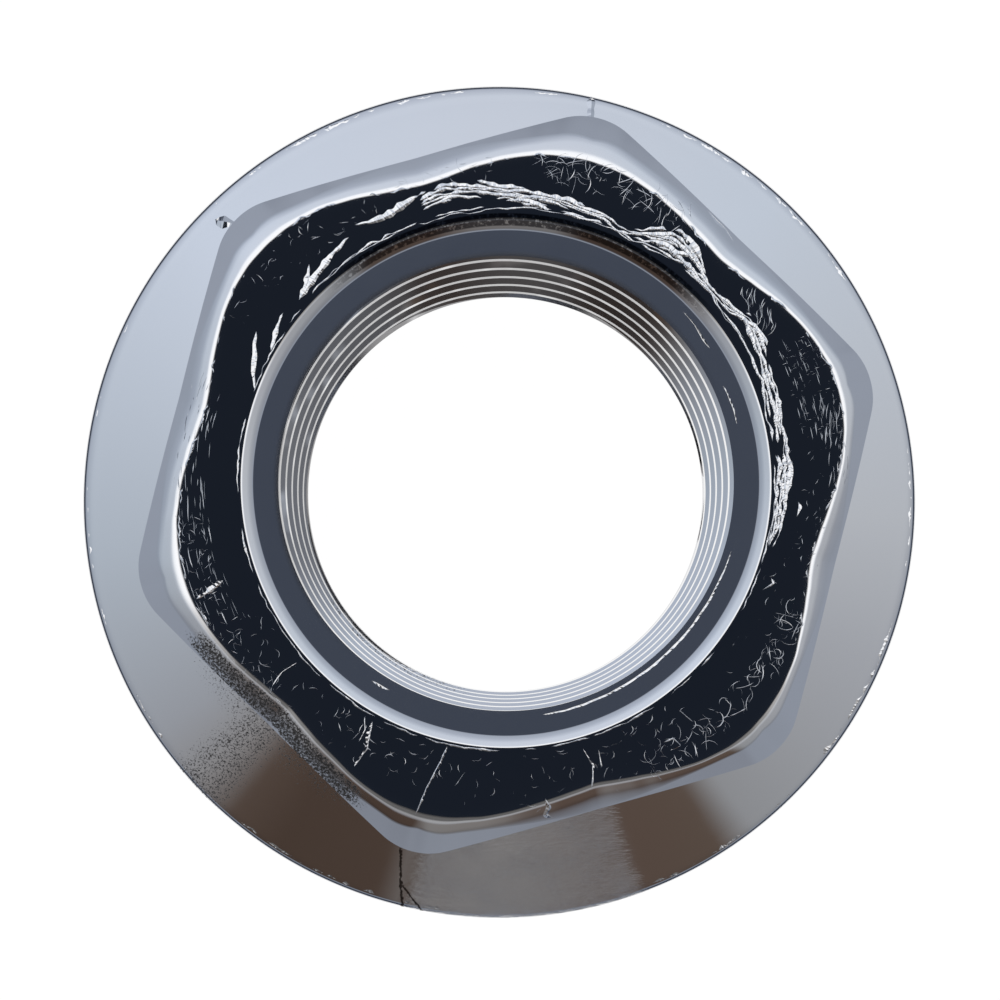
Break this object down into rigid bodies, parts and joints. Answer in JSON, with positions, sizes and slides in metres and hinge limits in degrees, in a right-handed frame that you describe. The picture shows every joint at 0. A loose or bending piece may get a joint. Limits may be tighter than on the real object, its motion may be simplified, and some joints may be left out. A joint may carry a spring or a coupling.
{
  "type": "flywheel nut",
  "caption": "One-piece hexagon nut with rolled upper edges on a round sloping flange, with a tapped through bore countersunk at both ends.",
  "frame": {"origin": "on the axis of the bore, in the plane of the bearing face", "axes": "+Z along the axis of the bore, from the bearing face to the top of the hexagon; +X and +Y are the right and the top of the face seen from above, with one corner of the hexagon 15.8 degrees round from +X"},
  "size_m": [0.0263, 0.0263, 0.0096],
  "materials": {
    "plated_steel": "bright zinc plating over forged steel, mirror smooth, with fine scratches and nicks"
  },
  "bodies": {
    "root": {"nut": "plated_steel"}
  },
  "joints": []
}
